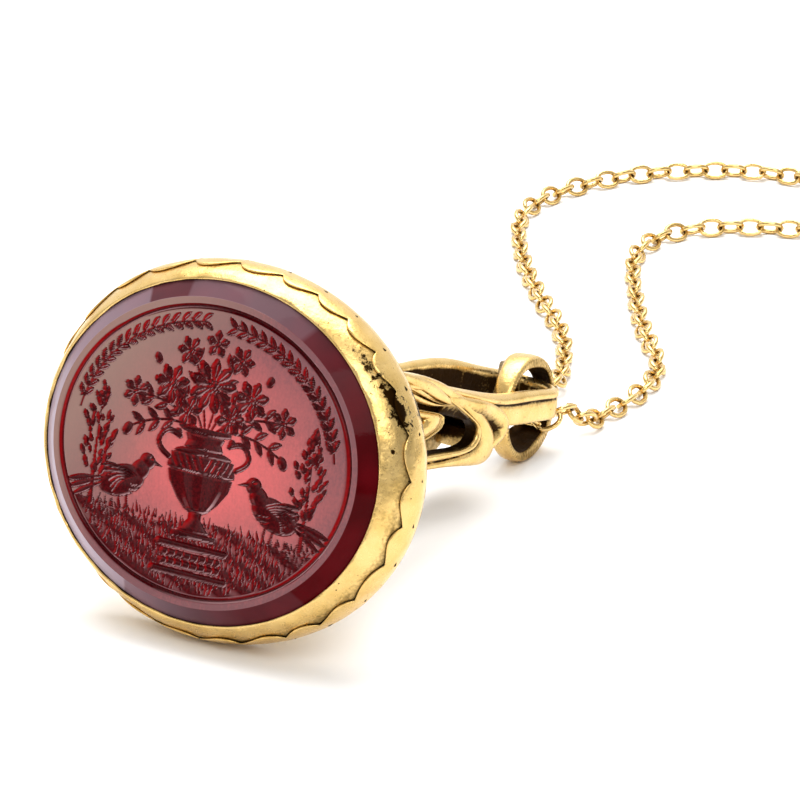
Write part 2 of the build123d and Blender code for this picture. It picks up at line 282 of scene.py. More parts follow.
def smooth_line(knots, count):
    """Points on a natural cubic spline through the knots."""
    knots = np.asarray(knots, float)
    reach = np.r_[0, np.cumsum(np.linalg.norm(np.diff(knots, axis=0), axis=1))]
    size = len(knots)
    gaps = np.diff(reach)
    slopes = np.diff(knots, axis=0) / gaps[:, None]
    system = np.eye(size)
    right = np.zeros_like(knots)
    for k in range(1, size - 1):
        system[k, k - 1:k + 2] = gaps[k - 1], 2 * (gaps[k - 1] + gaps[k]), gaps[k]
        right[k] = 6 * (slopes[k] - slopes[k - 1])
    bend = np.linalg.solve(system, right)
    at = np.linspace(0, reach[-1], count)
    k = np.clip(np.searchsorted(reach, at, "right") - 1, 0, size - 2)
    left, along, gap = (reach[k + 1] - at)[:, None], (at - reach[k])[:, None], gaps[k][:, None]
    return (
        (bend[k] * left**3 + bend[k + 1] * along**3) / (6 * gap)
        + (knots[k] / gap - bend[k] * gap / 6) * left
        + (knots[k + 1] / gap - bend[k + 1] * gap / 6) * along
    )


# The seal's frame, as in the source
STONE_WIDE, STONE_HIGH = 12.1, 10.57
RIM_OUT, RIM_BACK, HEIGHT_SHARE = 1.9, 2.3, 0.71
# how far the ring bail's middle is behind the stone's plane, above the axis and beside it
BAIL_BACK, BAIL_ABOVE, BAIL_ASIDE, RING_RADIUS = 36.55, 1.34, 1.18, 3.67
rim_to_bail = BAIL_BACK - RIM_BACK
rim_drop = BAIL_ABOVE + STONE_HIGH + RIM_OUT * HEIGHT_SHARE
ring_lift = math.asin(RING_RADIUS / math.hypot(rim_drop, rim_to_bail))
slope = math.atan2(rim_drop, rim_to_bail) - ring_lift
BACK = np.array([0, math.cos(slope), -math.sin(slope)])
UP = np.array([0, math.sin(slope), math.cos(slope)])
SIDE = np.array([1.0, 0, 0])
RING = np.array([BAIL_ASIDE, -0.5, RING_RADIUS])
RIM = RING - BACK * rim_to_bail - UP * BAIL_ABOVE - SIDE * BAIL_ASIDE
FACE = RIM - BACK * RIM_BACK
HANDLE_LENGTH = np.linalg.norm(RING - RIM)
ALONG = (RING - RIM) / HANDLE_LENGTH
ACROSS = unit(np.cross(ALONG, (0, 0, 1)))
OVER = np.cross(ACROSS, ALONG)
# the setting is narrower at the left: by what share, in what direction, over how many degrees
# each way, and from how far outside the stone
NARROW_BY, NARROW_AT, NARROW_OVER, NARROW_FROM = 0.5, 195, 55, 0.2


def from_face(x, y, depth):
    """Points from how far right, up and back of the middle of the stone's plane they are."""
    x, y, depth = np.broadcast_arrays(x, y, depth)
    return FACE + x[..., None] * SIDE + y[..., None] * UP + depth[..., None] * BACK


def on_head(out, turns, depth):
    """Points that stand out from the stone's edge, round its oval, behind its plane."""
    narrow = NARROW_BY * np.exp(-((from_line(turns, NARROW_AT) / NARROW_OVER) ** 4))
    out = np.where(out > NARROW_FROM, NARROW_FROM + (out - NARROW_FROM) * (1 - narrow), out)
    wide = STONE_WIDE + out
    high = STONE_HIGH + np.where(out > 0, out * HEIGHT_SHARE, out)
    return from_face(wide * np.cos(turns), high * np.sin(turns), depth)


# Chain
LYING = 0.65  # the height of the chain's middle, where no other is given
CHAIN_ROUTE = [
    (83, 119), (58, 115), (34, 99), (20, 77), (8, 62.6), (-3, 58.8), (-12.6, 61), (-20.6, 55.6),
    (-24.2, 48.4), (-24.2, 41.4), (-18.7, 32.7), (-13.1, 26), (-8.3, 21), (-4.8, 15.6),
    (-2.5, 10.4, 1.1), (-1.3, 5.6, 2.1), (-0.9, 1.05, 2.1), (1.75, 1.1, 2), (2.6, 2.5, 2.95),
    (2.55, 4.2, 2), (2.75, 5.8, 0.95), (2.55, 7.6), (2.7, 10), (2.7, 13.6), (1.4, 18.4),
    (-3.4, 24), (-8.2, 31.2), (-12.4, 38.4), (-12.2, 44.6), (-7, 48.8), (3.5, 51.6), (20, 48),
    (42, 36), (70, 28), (97, 37), (115, 58), (118, 84), (109, 106), (93, 117.4),
]
LINK_LONG, LINK_WIDE, LINK_WIRE = 2.18, 1.6, 0.35
LINK_POINTS, WIRE_POINTS = 14, 6
PAST_END, LOOK_ALONG = 0.1, 0.7
LEAST_HEIGHT = 0.01  # a link never dips into the floor


def route_line(route):
    """Points along the smooth spline of the chain's route, in millimetres."""
    data = bpy.data.curves.new("route", "CURVE")
    data.dimensions = "3D"
    data.resolution_u = 24
    spline = data.splines.new("NURBS")
    spline.points.add(len(route) - 1)
    for point, knot in zip(spline.points, route):
        x, y, z = (*knot, LYING)[:3]
        point.co = (x * MM, y * MM, z * MM, 1)
    spline.order_u = 3
    spline.use_endpoint_u = True
    thing = put("route", data)
    bpy.context.view_layer.update()
    settled = thing.evaluated_get(bpy.context.evaluated_depsgraph_get())
    mesh = bpy.data.meshes.new_from_object(settled)
    points = np.array([vertex.co for vertex in mesh.vertices]) / MM
    bpy.data.objects.remove(thing)
    bpy.data.meshes.remove(mesh)
    return points


def chain_links(line):
    """Oval wire links a pitch apart, each turned a quarter from the last."""
    reach = np.r_[0, np.cumsum(np.linalg.norm(np.diff(line, axis=0), axis=1))]
    pitch = LINK_LONG - 2 * LINK_WIRE
    count = int(round((reach[-1] + 0.9) / pitch))
    around, wire = circle(LINK_POINTS)[:, None], circle(WIRE_POINTS)[:, None]
    forth, aside = np.cos(around), np.sin(around)
    long_half, wide_half = (LINK_LONG - LINK_WIRE) / 2, (LINK_WIDE - LINK_WIRE) / 2
    x, y = long_half * np.sign(forth) * np.abs(forth) ** 0.86, wide_half * aside
    thick, deep = LINK_WIRE / 2 * np.cos(wire), LINK_WIRE / 2 * np.sin(wire)
    stain = 0.1 + 0.75 * np.clip(-np.cos(wire), 0, 1).T * np.abs(forth) ** 3
    points, faces, hollow = [], [], []

    def at(place):
        return np.array([np.interp(place, reach, line[:, axis]) for axis in range(3)])

    for k, place in enumerate(np.linspace(-PAST_END, reach[-1] + PAST_END, count)):
        run = unit(at(place + LOOK_ALONG) - at(place - LOOK_ALONG))
        level = unit(np.cross(run, (0, 0, 1)))
        raised = np.cross(level, run)
        roll = math.radians(45 if k % 2 else -45) + vary(-0.12, 0.12)
        wide = math.cos(roll) * level + math.sin(roll) * raised
        flat = np.cross(run, wide)
        middle = at(place) + x * run + y * wide
        outward = unit(forth * run * wide_half + aside * wide * long_half)
        ring = middle[:, None] + thick * outward[:, None] + deep * flat
        ring[..., 2] += max(0.0, LEAST_HEIGHT - ring[..., 2].min())
        faces += net(LINK_POINTS, WIRE_POINTS, len(points), round_rows=True)
        points += ring.reshape(-1, 3).tolist()
        hollow += stain.ravel().tolist()
    return points, faces, hollow


points, faces, hollow = chain_links(route_line(CHAIN_ROUTE))
piece("chain_links", points, faces, GOLD_CHAIN, {"hollow": hollow}, stands_for=["chain"])


# Stone
# The table is a square net of points drawn into an oval: each has its place, and how deep it is cut
BEVEL, TABLE_RISE = 1.0, 0.848
TABLE_WIDE, TABLE_HIGH = STONE_WIDE - BEVEL, STONE_HIGH - BEVEL
GRID = 300
steps = np.linspace(-1, 1, GRID + 1)
square_x, square_y = np.meshgrid(steps, steps)
wide_first = np.abs(square_x) > np.abs(square_y)
with np.errstate(divide="ignore", invalid="ignore"):
    ring = np.where(wide_first, square_x, square_y)
    by_x = math.pi / 4 * square_y / square_x
    by_y = math.pi / 2 - math.pi / 4 * square_x / square_y
turned = np.nan_to_num(np.where(wide_first, by_x, by_y))
table = np.stack([ring * np.cos(turned), ring * np.sin(turned)], -1).reshape(-1, 2)
place = table * (TABLE_WIDE, TABLE_HIGH)
cut = np.zeros(len(place))


def engrave(line, width, depth, swell="even", ridge=False):
    """Cuts a rounded line into the table, or leaves one standing in what is cut."""
    line = np.asarray(line, float)
    low, high = line.min(0) - width, line.max(0) + width
    near = np.flatnonzero((place > low).all(1) & (place < high).all(1))
    spots = place[near]
    best = np.full(len(near), np.inf)
    at = np.zeros(len(near))
    for k in range(len(line) - 1):
        run = line[k + 1] - line[k]
        share = np.clip((spots - line[k]) @ run / (run @ run), 0, 1)
        gap = np.linalg.norm(spots - line[k] - share[:, None] * run, axis=1)
        closer = gap < best
        best[closer] = gap[closer]
        at[closer] = (k + share[closer]) / (len(line) - 1)
    half = {
        "even": np.ones_like(at),
        "blade": 1.05 - at,
        "leaf": 0.08 + np.sin(math.pi * np.clip(at, 0, 1)) ** 0.8,
        "petal": 0.25 + 0.8 * np.sin(math.pi * np.clip(at * 0.9, 0, 1) ** 1.6),
    }[swell] * width / 2
    body = depth * np.sqrt(np.clip(1 - (best / half) ** 2, 0, None))
    if ridge:
        cut[near] = np.maximum(cut[near] - body, 0)
    else:
        cut[near] = np.maximum(cut[near], body)


def hollow_out(middle, half, turn, depth):
    """Cuts a rounded oval hollow."""
    spots = place - middle
    c, s = math.cos(turn), math.sin(turn)
    u = (spots[:, 0] * c + spots[:, 1] * s) / half[0]
    v = (spots[:, 1] * c - spots[:, 0] * s) / half[1]
    body = depth * np.sqrt(np.clip(1 - u * u - v * v, 0, None))
    np.maximum(cut, body, out=cut)


def bow(start, middle, end, count=8):
    """Points on a bent line that is drawn towards a middle point."""
    t = np.linspace(0, 1, count)[:, None]
    start, middle, end = np.array(start), np.array(middle), np.array(end)
    return (1 - t) ** 2 * start + 2 * t * (1 - t) * middle + t**2 * end


def spray_leaf(root, tip, width, depth):
    """A bent leaf, with a vein left standing in it."""
    root, tip = np.array(root, float), np.array(tip, float)
    across = np.array([-(tip - root)[1], (tip - root)[0]])
    line = bow(root, (root + tip) / 2 + 0.12 * across, tip)
    engrave(line, width, depth, "leaf")
    engrave(line[1:-1], width * 0.16, depth * 0.5, ridge=True)


def leaf_pair(root, way, lean, length, width, depth):
    """Two leaves from one point of a stem, which lean away from its way to both sides."""
    for turn in (lean, -lean):
        c, s = math.cos(turn), math.sin(turn)
        tip = root + np.array([way[0] * c - way[1] * s, way[0] * s + way[1] * c]) * length
        spray_leaf(root, tip, width, depth)


def flower(middle, radius, petals, depth, start=0.0):
    """Petals with standing veins, round a hollow heart with a ring of standing dots."""
    middle = np.array(middle, float)

    def out(angle, share):
        return middle + np.array([math.cos(angle), math.sin(angle)]) * radius * share

    for k in range(petals):
        angle = start + 2 * math.pi * k / petals
        engrave([out(angle, 0.18), out(angle, 1)], radius * 4.4 / petals, depth, "petal")
        engrave([out(angle, 0.35), out(angle, 0.85)], 0.1, depth * 0.35, ridge=True)
    hollow_out(middle, (radius * 0.3, radius * 0.3), 0, depth * 1.25)
    for k in range(6):
        dot = out(k * math.pi / 3, 0.15)
        engrave([dot, dot + 0.001], 0.14, depth * 0.4, ridge=True)


def engrave_ground():
    """A bank across the foot of the field, and the grass on it."""
    shore = -4.5 + 0.3 * np.sin(place[:, 0] * 0.55 + 0.6)
    field_edge = np.hypot(place[:, 0] / 10.3, place[:, 1] / 8.78)
    bank = (place[:, 1] < shore) & (field_edge < 1)
    ripple = 0.075 + 0.03 * np.sin(place[bank, 0] * 2.3 + place[bank, 1] * 5.1)
    cut[bank] = np.maximum(cut[bank], ripple)
    for level in np.arange(-8.5, -4.3, 0.36):
        reach = 10.2 * math.sqrt(max(0.02, 1 - (level / 8.75) ** 2))
        for x in np.arange(-reach, reach, 0.3):
            foot = np.array([x + vary(-0.1, 0.1), level + vary(-0.14, 0.14)])
            tip = foot + (vary(-0.22, 0.22), vary(0.35, 0.72))
            if all(math.hypot(end[0] / 10.2, end[1] / 8.7) < 1 for end in (tip, foot)):
                width, depth = vary(0.15, 0.24), vary(0.10, 0.20)
                engrave([foot, tip], width, depth, "blade")


# the urn's half width at each height: its foot, stem, bowl, neck and lip
URN_OUTLINE = [
    (-4.3, 1.5), (-4, 1.5), (-3.95, 1.1), (-3.6, 0.75), (-3.2, 0.42), (-2.9, 0.42), (-2.75, 0.75),
    (-2.2, 1.35), (-1.4, 1.95), (-0.5, 2.2), (0.2, 2.05), (0.45, 1.75), (0.6, 1.3), (1, 1.1),
    (1.4, 1.3), (1.55, 1.65), (1.75, 1.65),
]


def engrave_urn():
    """The urn with its flutes, bands and handles, on a stepped plinth."""
    half = np.interp(place[:, 1], *zip(*URN_OUTLINE), left=0, right=0)
    inside = np.abs(place[:, 0]) < half
    share = np.zeros(len(place))
    share[inside] = place[inside, 0] / half[inside]
    body = 0.42 * np.sqrt(np.clip(1 - share**2, 0, None))
    flutes = inside & (place[:, 1] > -2.7) & (place[:, 1] < -0.75)
    body[flutes] -= 0.08 * np.abs(np.sin(np.arcsin(share[flutes]) * 5.0))
    body[~inside] = 0
    np.maximum(cut, body, out=cut)
    bands = ((-0.68, 2.14), (0.28, 2.0), (0.6, 1.25), (1.42, 1.3), (-2.78, 0.7), (-3.9, 1.1))
    for level, reach in bands:
        engrave(bow((-reach, level), (0, level - 0.16), (reach, level)), 0.12, 0.12, ridge=True)
    for hand in (1, -1):
        for k in range(5):
            x = hand * (0.05 + 0.42 * k)
            rib = bow((x, -0.55), (x + hand * 0.2, -0.2), (x + hand * 0.36, 0.16))
            engrave(rib, 0.11, 0.09, ridge=True)
        hooked = ((1.6, 1.1), (2.5, 1.25), (2.9, 0.6), (2.2, -0.1))
        grip = smooth_line([(hand * u, v) for u, v in hooked], 14)
        engrave(grip, 0.34, 0.24)
        engrave(grip, 0.08, 0.08, ridge=True)
        hollow_out((hand * 1.72, 1.3), (0.24, 0.24), 0, 0.2)
    steps = ((-4.75, 2.1, 0.34), (-5.25, 1.75, 0.3), (-5.75, 1.75, 0.3), (-6.25, 2.3, 0.34))
    for level, reach, deep in steps:
        engrave([(-reach, level), (reach, level)], 0.46, deep)
    for level in (-5.0, -6.0):
        engrave([(-1.7, level), (1.7, level)], 0.1, 0.12, ridge=True)
    for x in np.arange(-1.5, 1.6, 0.5):
        engrave([(x, -5.15), (x, -5.85)], 0.09, 0.1, ridge=True)


def engrave_bouquet():
    """Leafy stems, flowers and buds above the urn, the same on both sides."""
    for hand in (1, -1):
        for start, middle, end in (
            ((0.3, 1.7), (1.0, 3.4), (3.0, 4.0)),
            ((0.6, 1.7), (2.2, 3.0), (4.6, 2.9)),
            ((0.9, 1.7), (2.8, 2.2), (4.9, 1.0)),
            ((0.1, 1.7), (0.5, 4.0), (1.6, 6.1)),
        ):
            line = bow(*((hand * u, v) for u, v in (start, middle, end)), count=10)
            engrave(line, 0.15, 0.14)
            for k in (3, 5, 7):
                leaf_pair(line[k], unit(line[k] - line[k - 1]), 0.75, 0.95, 0.42, 0.2)
        flower((hand * 2.55, 3.75), 0.98, 7, 0.28, 0.3)
        flower((hand * 1.35, 2.5), 0.78, 6, 0.24, 0.2)
        flower((hand * 4.75, 2.95), 0.72, 6, 0.22, 0.5)
        flower((hand * 1.65, 5.75), 0.7, 6, 0.22)
        hollow_out((hand * 5.0, 0.85), (0.3, 0.44), hand * 0.5, 0.24)
        hollow_out((hand * 3.6, 5.0), (0.26, 0.36), -hand * 0.5, 0.2)
    flower((0, 4.1), 1.35, 9, 0.32, 0.1)
    flower((0, 6.4), 0.62, 5, 0.2, 0.31)


def engrave_bird(hand, x, y):
    """A small standing bird that looks to its hand's side: tail, body, head, wing and feet."""
    def at(u, v):
        return (x + hand * u, y + v)

    def arched(root, tip, rise):
        return bow(root, ((root[0] + tip[0]) / 2, (root[1] + tip[1]) / 2 + rise), tip)

    for root, tip, wide in (
        (at(-1.3, 0.0), at(-3.3, -0.45), 0.34),
        (at(-1.3, -0.1), at(-3.2, -0.8), 0.32),
        (at(-1.2, -0.2), at(-2.9, -1.1), 0.3),
    ):
        engrave(arched(root, tip, 0.1), wide, 0.2, "petal")
    hollow_out(at(-0.35, 0.05), (1.35, 0.78), hand * 0.32, 0.4)
    hollow_out(at(0.62, 0.72), (0.62, 0.5), hand * 0.9, 0.34)
    hollow_out(at(0.98, 1.22), (0.45, 0.42), 0, 0.34)
    engrave([at(1.3, 1.25), at(1.85, 1.12)], 0.26, 0.22, "blade")
    engrave([at(1.08, 1.34), at(1.085, 1.34)], 0.16, 0.2, ridge=True)
    for k in range(6):
        root = at(0.28 - 0.13 * k, 0.38 - 0.07 * k)
        tip = at(-1.55 + 0.14 * k, 0.62 - 0.26 * k)
        engrave(arched(root, tip, 0.22), 0.3, 0.44 - 0.03 * k, "petal")
        engrave(arched(root, tip, 0.36), 0.07, 0.14, ridge=True)
    for k in range(7):
        u = 0.1 + 0.16 * (k % 4)
        v = -0.35 + 0.26 * (k // 4)
        engrave(bow(at(u, v), at(u + 0.1, v - 0.14), at(u + 0.22, v)), 0.06, 0.1, ridge=True)
    for u in (0.05, -0.4):
        engrave([at(u, -0.6), at(u + 0.1, -1.35)], 0.14, 0.16)
        for toe in (-0.3, 0.05, 0.35):
            engrave([at(u + 0.1, -1.33), at(u + 0.1 + toe, -1.55)], 0.1, 0.12, "blade")


def engrave_tree(hand, x, foot, top):
    """A slim tree whose crown is a mass of small leaves."""
    trunk = bow((x, foot), (x + hand * 0.15, (foot + top) / 2), (x, top - 0.5))
    engrave(trunk, 0.34, 0.22, "blade")
    for share in np.arange(70) / 70:
        level = foot + 1.7 + share * (top - foot - 1.7)
        spread = 1.05 * math.sin(math.pi * min(1, 0.12 + share * 0.9)) ** 0.8
        root = np.array([x + vary(-1, 1) * spread, level + vary(-0.15, 0.15)])
        tip = root + ((root[0] - x) * 0.35 + vary(-0.12, 0.12), vary(0.45, 0.7))
        width, depth = vary(0.28, 0.42), vary(0.16, 0.3)
        engrave([root, (root + tip) / 2, tip], width, depth, "leaf")


def engrave_border():
    """The groove round the field, and a laurel spray inside it over the top."""
    inset, groove_half = 0.57, 0.017
    radius = np.hypot(place[:, 0] / (TABLE_WIDE - inset), place[:, 1] / (TABLE_HIGH - inset))
    groove = 0.24 * np.sqrt(np.clip(1 - ((radius - 1) / groove_half) ** 2, 0, None))
    np.maximum(cut, groove, out=cut)
    angles = np.linspace(0.1, 1.42, 34)
    for hand in (1, -1):
        stem = np.stack([hand * 9.45 * np.sin(angles), 8.05 * np.cos(angles)], 1)
        engrave(stem, 0.13, 0.13)
        for k in range(1, 33, 2):
            way = unit(stem[k] - stem[k + 1])
            leaf_pair(stem[k], way, 0.6, 0.92, 0.4, 0.22)
            berry = stem[k] + np.array([way[1], -way[0]]) * 0.2 * (1 if k % 4 == 1 else -1)
            hollow_out(berry, (0.1, 0.1), 0, 0.14)


engrave_ground()
for hand in (1, -1):
    engrave_tree(hand, hand * 7.75, -4.6, 2.6)
engrave_border()
# the urn, lowered a little, and the birds are drawn at scales of their own
URN_SCALE, URN_LOWER, BIRD_SCALE = 1.14, 0.5, 1.3
whole = place
place = (whole + (0, URN_LOWER)) / URN_SCALE
engrave_urn()
engrave_bouquet()
place = whole / BIRD_SCALE
for hand in (1, -1):
    engrave_bird(hand, hand * -4.0, -2.2)
place = whole

# how much painted reflection of the pale studio the bevel shows, at degrees round the oval from the
# right
MIRRORED = [
    (0, 0), (30, 0.01), (57, 0.05), (59, 0.15), (95, 0.19), (103, 0.17), (104, 0.07), (118, 0.07),
    (119, 0.3), (150, 0.42), (175, 0.72), (200, 0.9), (228, 0.85), (246, 0.6), (247, 0.3),
    (262, 0.2), (275, 0.1), (292, 0.03), (312, 0.03), (313, 0), (360, 0),
]
# the rows of the bevel, the edge and the underside: how far out, and how far back
STONE_ROWS = [(-0.97, -0.8245), (-0.5, -0.425), (0.0, 0.0), (0.14, 0.119), (0.14, 1.24)]


def stone():
    """The carnelian: its engraved table, the bevel round it and the flat underside."""
    side = GRID + 1
    on_table = from_face(place[:, 0], place[:, 1], cut - TABLE_RISE)
    sheet = on_table.reshape(side, side, 3)
    slant = unit(np.cross(np.gradient(sheet, axis=1), np.gradient(sheet, axis=0)).reshape(-1, 3))
    slant = slant * np.sign(-slant @ BACK)[:, None]
    right, upward = slant @ SIDE, slant @ UP
    # The marks below paint light: the field goes from a painted glow in the middle to painted
    # reflection at the edges; the slopes of the cuts get painted glow, painted highlights and a
    # painted rim light; and the upper left gets painted reflection.
    middle = np.hypot((place[:, 0] - 1.2) / 10.6, (place[:, 1] + 0.6) / 9.0)
    table_marks = {
        "cut": np.clip(cut / 0.16, 0, 1),
        "field": np.clip((middle - 0.1) / 0.85, 0, 1),
        "bevel": np.zeros(len(place)),
        "glow": np.clip(right * 0.9 - upward * 0.35 - 0.25, 0, 1) * np.clip(cut / 0.12, 0, 1),
        "shine": np.clip((-right * 0.75 + upward * 0.55 - 0.34) * 3.2, 0, 0.85) * (cut > 0.13),
        "painted_rim_light": np.clip(-right * 0.8 - upward * 0.5 - 0.12, 0, 0.9) * (cut < 0.1) * (cut > 0.004),
        "painted_reflection": np.clip((place[:, 1] * 0.55 - place[:, 0] * 0.75 - 1.0) / 7.5, 0, 0.9),
    }
    numbers = np.arange(side * side).reshape(side, side)
    loop = np.r_[numbers[0], numbers[1:, -1], numbers[-1, -2::-1], numbers[-2:0:-1, 0]]
    turns = np.arctan2(table[loop, 1], table[loop, 0])
    mirrored = np.interp(np.degrees(turns) % 360, *zip(*MIRRORED))
    points = [on_table] + [on_head(out, turns, depth) for out, depth in STONE_ROWS]
    start, span, rows = len(on_table), len(loop), len(STONE_ROWS)
    faces = net(side, side, round_columns=False)
    for k in range(span):
        after = (k + 1) % span
        faces.append((loop[k], loop[after], start + after, start + k))
    faces += net(rows, span, start)
    faces.append(tuple(range(start + (rows - 1) * span, start + rows * span)))
    full, plain = np.ones(rows * span), np.zeros(rows * span)
    edge_marks = {"field": full, "bevel": full, "painted_reflection": np.tile(mirrored, rows)}
    marks = {
        mark: np.r_[values, edge_marks.get(mark, plain)] for mark, values in table_marks.items()
    }
    brim = np.hypot(table[:, 0], table[:, 1]) > 0.9999
    piece(
        "carnelian_intaglio", np.concatenate(points), faces, CARNELIAN, marks,
        sharp=np.r_[brim, plain], stands_for=["intaglio_stone"],
    )


stone()


# Bezel
# the collet's section: how far out from the stone's edge, how far behind its plane, and patina
COLLET_ROWS = [
    (0.3, 0.4, 1), (0.06, 0.1, 1), (0.03, 0, 0.9), (0.045, -0.09, 0.3), (0.1, -0.135, 0),
    (0.18, -0.13, 0), (0.26, -0.1, 0), (0.34, -0.05, 0), (0.44, 0.02, 0), (0.56, 0.1, 0),
    (0.7, 0.21, 0), (0.84, 0.34, 0), (0.98, 0.48, 0), (1.1, 0.62, 0), (1.2, 0.76, 0),
    (1.32, 0.93, 0), (1.45, 1.12, 0.2), (1.58, 1.32, 0.7), (1.66, 1.5, 1), (1.45, 1.75, 1),
    (0.9, 1.75, 1),
]
LIP_ROWS = 5


def eaten_patch(degrees, out):
    """Where the gold is eaten away, beside the scallops at the upper right, and one small pit."""
    patch = 1.15 * hump(degrees + 9 * (out - 1.3), 28, 8.5) * hump(out, 1.38, 0.36)
    pit = hump(degrees, 13, 1.1) * hump(out, 0.88, 0.1)
    trail = 0.62 * hump(degrees, 40, 7.0) * hump(out, 0.95, 0.3)
    return np.maximum(np.maximum(patch, pit), trail)


def bezel():
    """The collet, a little beaten and uneven, with patina under the petals and painted shade beside
    them.
    """
    turns = circle(480)
    degrees = from_line(turns)
    lip = 0.035 * wander(turns, 46, 3) + 0.03 * wander(turns, 17, 4)
    low_side = 0.3 + 0.7 * np.clip(-np.sin(turns - 0.4), 0, 1)
    beaten = (0.04 * wander(turns, 26, 5) + 0.02 * wander(turns, 60, 9)) * low_side
    wave = 0.03 * wander(turns, 9, 6)
    seen_side = np.clip(0.3 + 0.7 * np.cos(turns + 0.5), 0, 1)
    grid, hollow, pitted = [], [], []
    for k, (out, depth, patina_and_shade) in enumerate(COLLET_ROWS):
        shift = lip * hump(k, 4, 2.6) * 0.6 + (beaten + wave) * hump(k, 11, 3.2) * 0.7
        grid.append(on_head(out + shift * 0.6, turns, depth - shift))
        stain = 0.10 * np.clip(wander(turns, 24, 20 + k), 0, 2) * (out > 0.5)
        # painted shade in a band beside the petals, strongest on the side seen; the rows' own
        # values and the random stain are patina
        hollow.append(patina_and_shade + 0.34 * hump(out, 1.3, 0.3) * seen_side + stain)
        pitted.append(eaten_patch(degrees, out) * (k > LIP_ROWS))
    faces = net(len(COLLET_ROWS), len(turns), round_rows=True)
    marks = {"hollow": np.clip(np.concatenate(hollow), 0, 1), "pitted": np.concatenate(pitted)}
    piece("collet", np.concatenate(grid), faces, GOLD, marks, stands_for=["bezel"])


bezel()


# Scalloped rim and domed back
# The cusps between the petals, in degrees round the oval: those seen, and how many are hidden
SEEN_CUSPS = [
    -89.2, -76, -61.7, -50.5, -36.9, -22.6, -9.8, 4, 17.7, 31.1, 43.7, 56.1, 67.1, 78.9,
]
HIDDEN_CUSPS = 13
PETAL_POINTS = 26
# how far out and how far back the rim's side is, then half width, half height and depth of the
# dome where it starts, halfway and at the neck that the handle springs from
SIDE_ROWS = [
    (1.78, 1.55), (1.82, 1.85), (1.835, 2.2), (1.78, 2.55), (1.66, 2.85), (1.56, 3.08),
    (1.5, 3.18),
]
DOME = np.array([(13.6, 11.63, 3.22), (8.7, 7.2, 4.9), (4.3, 4.0, 8.5)])
PETALS_END = 1.73


def seal_cup():
    """The petals over the collet, the rim's side and the domed back, as one closed skin."""
    spread = np.linspace(SEEN_CUSPS[-1], SEEN_CUSPS[0] + 360, HIDDEN_CUSPS + 2)[1:-1]
    hidden = spread + np.random.default_rng(2).uniform(-1.2, 1.2, HIDDEN_CUSPS)
    cusps = np.radians(np.r_[SEEN_CUSPS, hidden])
    count = len(cusps)
    which = np.repeat(np.arange(count), PETAL_POINTS)
    share = np.tile(np.arange(PETAL_POINTS) / PETAL_POINTS, count)
    following = np.r_[cusps[1:], cusps[0] + 2 * math.pi]
    turns = cusps[which] + (following - cusps)[which] * share
    degrees = from_line(turns)
    luck = np.random.default_rng(5)
    reach = luck.uniform(0.8, 1.15, count)[which]
    skewed = share ** luck.uniform(1.2, 1.75, count)[which]
    bulge = 1 - np.abs(2 * skewed - 1) ** 2.2
    seen_side = np.clip(0.25 + 0.9 * np.cos(turns + 0.25), 0, 1)
    tip = 1.62 - 0.38 * reach * bulge
    gap = (0.15 * hump(share, 0, 0.28) + 0.08 * hump(share, 1, 0.10) + 0.02) * seen_side
    gap = gap * luck.uniform(0.5, 1.3, count)[which] + 0.01
    notch = hump(np.minimum(share, 1 - share), 0, 0.06)
    rough = 0.02 * wander(turns, 60, 8)
    grid, hollow, pitted = [], [], []

    def row(out, depth, patina_and_shade):
        grid.append(on_head(out, turns, depth))
        hollow.append(np.clip(patina_and_shade + 0 * turns, 0, 1))
        pitted.append(eaten_patch(degrees, out + 0 * turns))

    # the petals' edges lie on the collet, which the scallops' depth follows
    bed_out, bed_depth, _ = zip(*COLLET_ROWS[12:19], (1.75, 1.72, 0))
    bed = np.interp(tip, bed_out, bed_depth)
    row(tip + 0.25, bed + 0.75, 1.0)
    row(tip + 0.06, bed + 0.12, 1.0)
    # painted shade in the gap under the petals' edges, strongest on the side seen
    row(tip + 0.03, bed - gap * 0.8, seen_side)
    row(tip, bed - gap - 0.05, 0.95 * seen_side)
    row(tip + 0.02, bed - gap - 0.10, 0.25 * seen_side)
    # the petals, with painted shade in the notches between them that fades along each petal
    for along in (0.12, 0.25, 0.4, 0.6, 0.8, 1.0):
        out = tip + 0.05 + (PETALS_END - tip - 0.05) * along
        plain = 0.50 + (out - 1.22) * 1.62
        start = bed - gap - 0.13
        swell = 0.05 * math.sin(math.pi * along) * bulge
        depth = start * (1 - along) ** 1.5 + plain * (1 - (1 - along) ** 1.5) - swell
        row(out, depth + 0.05 * notch * (1 - along), notch * (1 - along) * 0.35)
    for out, depth in SIDE_ROWS:
        row(out + rough * 0.4 - 0.005, depth, 0.0)
    for v in np.linspace(0.0, 1, 18):
        wide, high, depth = (
            DOME[0] * (1 - v) * (1 - 2 * v) + DOME[1] * 4 * v * (1 - v) + DOME[2] * v * (2 * v - 1)
        )
        beat = 0.05 * wander(turns, 7, 30) * math.sin(math.pi * v)
        x, y = (wide + beat) * np.cos(turns), (high + beat) * np.sin(turns)
        grid.append(from_face(x, y, depth))
        hollow.append(np.full(len(turns), 0.45 if v < 0.05 else 0.08 + 0.25 * v))
        pitted.append(np.zeros(len(turns)))
    faces = net(len(grid), len(turns)) + caps(len(grid), len(turns))
    marks = {"hollow": np.concatenate(hollow), "pitted": np.concatenate(pitted)}
    piece("seal_cup", np.concatenate(grid), faces, GOLD, marks, stands_for=["seal_body"])


seal_cup()


# Handle
# How far the straps are to both sides of the handle's axis, the loop's height, and how far behind
# the rim the straps leave the dome
SPREAD, LOOP_HIGH, ROOT_DEPTH = 2.1, 2.75, 3.4
ROOT = ROOT_DEPTH / HANDLE_LENGTH
